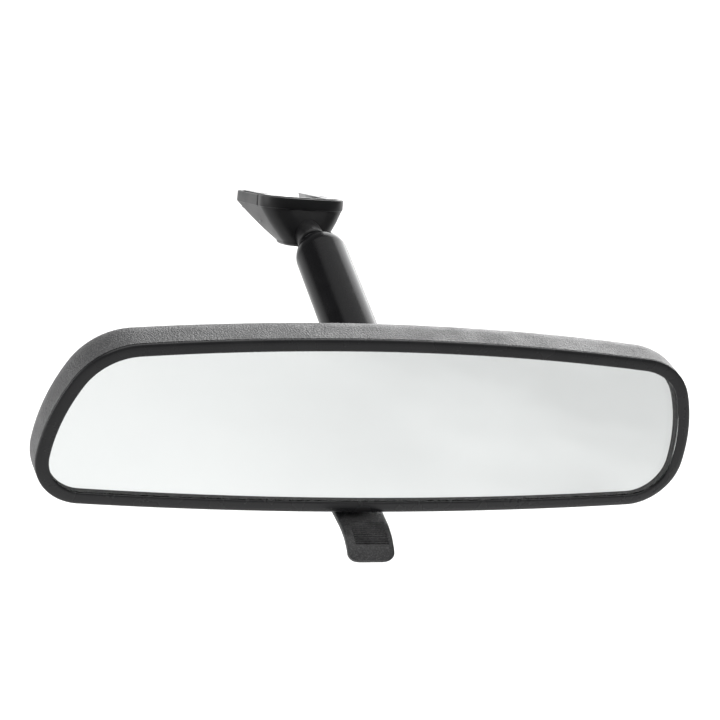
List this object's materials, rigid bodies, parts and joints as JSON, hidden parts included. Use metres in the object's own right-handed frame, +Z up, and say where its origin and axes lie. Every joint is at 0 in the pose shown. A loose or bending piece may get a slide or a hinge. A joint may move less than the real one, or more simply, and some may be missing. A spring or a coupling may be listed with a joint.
{
  "type": "interior rearview mirror",
  "caption": "Interior day and night rearview mirror: rounded prismatic head in a grained housing with an anti-glare lever, two-ball stem and windscreen button mount.",
  "frame": {"origin": "centre of the mount's face, which lies against the windscreen", "axes": "+X to the right of someone looking into the mirror, along its length; +Y to the front of the car; +Z up"},
  "size_m": [0.25, 0.1662, 0.0835],
  "materials": {
    "mount_paint": "satin black powder coat",
    "plate_paint": "semi-gloss black paint",
    "screw_steel": "black oxide steel",
    "ball_steel": "ground steel",
    "stud_black": "black phosphated steel",
    "nylon": "natural nylon",
    "tube_paint": "satin black paint",
    "spring_steel": "spring wire",
    "bracket_plastic": "glass filled nylon",
    "housing_plastic": "fine grained black moulding",
    "bezel_plastic": "satin black moulding",
    "glass_clear": "polished wedge glass",
    "silvering": "silvered and sealed",
    "film_plastic": "safety film",
    "foam": "closed cell foam",
    "lever_plastic": "fine grained black moulding"
  },
  "bodies": {
    "mount": {"mount_shell": "mount_paint", "wedge_plate": "plate_paint", "plate_screws": "screw_steel", "set_screw": "screw_steel"},
    "upper_stud": {"upper_ball_stud": "stud_black", "upper_stud_clip": "spring_steel"},
    "upper_liner": {"upper_ball_liner": "nylon"},
    "stem": {"stem_tube": "tube_paint", "upper_plunger": "nylon", "lower_plunger": "nylon", "stem_spring": "spring_steel"},
    "lower_liner": {"lower_ball_liner": "nylon"},
    "lower_stud": {"lower_ball_stud": "stud_black", "lower_stud_clip": "spring_steel"},
    "bracket": {"toggle_bracket": "bracket_plastic"},
    "head": {"rear_housing": "housing_plastic", "front_bezel": "bezel_plastic", "mirror_glass": "glass_clear", "mirror_coating": "silvering", "backing_film": "film_plastic", "foam_gasket": "foam", "hinge_rod": "ball_steel", "lever_pin": "ball_steel"},
    "lever": {"toggle_lever": "lever_plastic", "crank_pin": "ball_steel"}
  },
  "joints": [
    {"name": "stem_twist", "type": "hinge", "parent": "mount", "child": "upper_stud", "pos_m": [0, -0.0436, -0.00365], "axis": [0, 1, 0], "range_deg": [-20, 20]},
    {"name": "stem_pitch", "type": "hinge", "parent": "upper_stud", "child": "upper_liner", "pos_m": [0, -0.0436, -0.00365], "axis": [1, 0, 0], "range_deg": [-32, 10]},
    {"name": "stem_yaw", "type": "hinge", "parent": "upper_liner", "child": "stem", "pos_m": [0, -0.0436, -0.00365], "axis": [0, 0, 1], "range_deg": [-14, 14]},
    {"name": "head_yaw", "type": "hinge", "parent": "stem", "child": "lower_liner", "pos_m": [0, -0.10229, -0.01613], "axis": [0, 0, 1], "range_deg": [-14, 14]},
    {"name": "head_pitch", "type": "hinge", "parent": "lower_liner", "child": "lower_stud", "pos_m": [0, -0.10229, -0.01613], "axis": [1, 0, 0], "range_deg": [-10, 30]},
    {"name": "head_roll", "type": "hinge", "parent": "lower_stud", "child": "bracket", "pos_m": [0, -0.10229, -0.01613], "axis": [0, 1, 0], "range_deg": [-12, 12]},
    {"name": "day_night_tilt", "type": "hinge", "parent": "bracket", "child": "head", "pos_m": [0, -0.1159, 0.00085], "axis": [1, 0, 0], "range_deg": [0, 4.1]},
    {"name": "lever_flip", "type": "hinge", "parent": "head", "child": "lever", "pos_m": [0, -0.1169, -0.05245], "axis": [1, 0, 0], "range_deg": [0, 45]}
  ],
  "couplings": [
    {"joint": "lever_flip", "follows": "day_night_tilt", "ratio": 10.949}
  ]
}
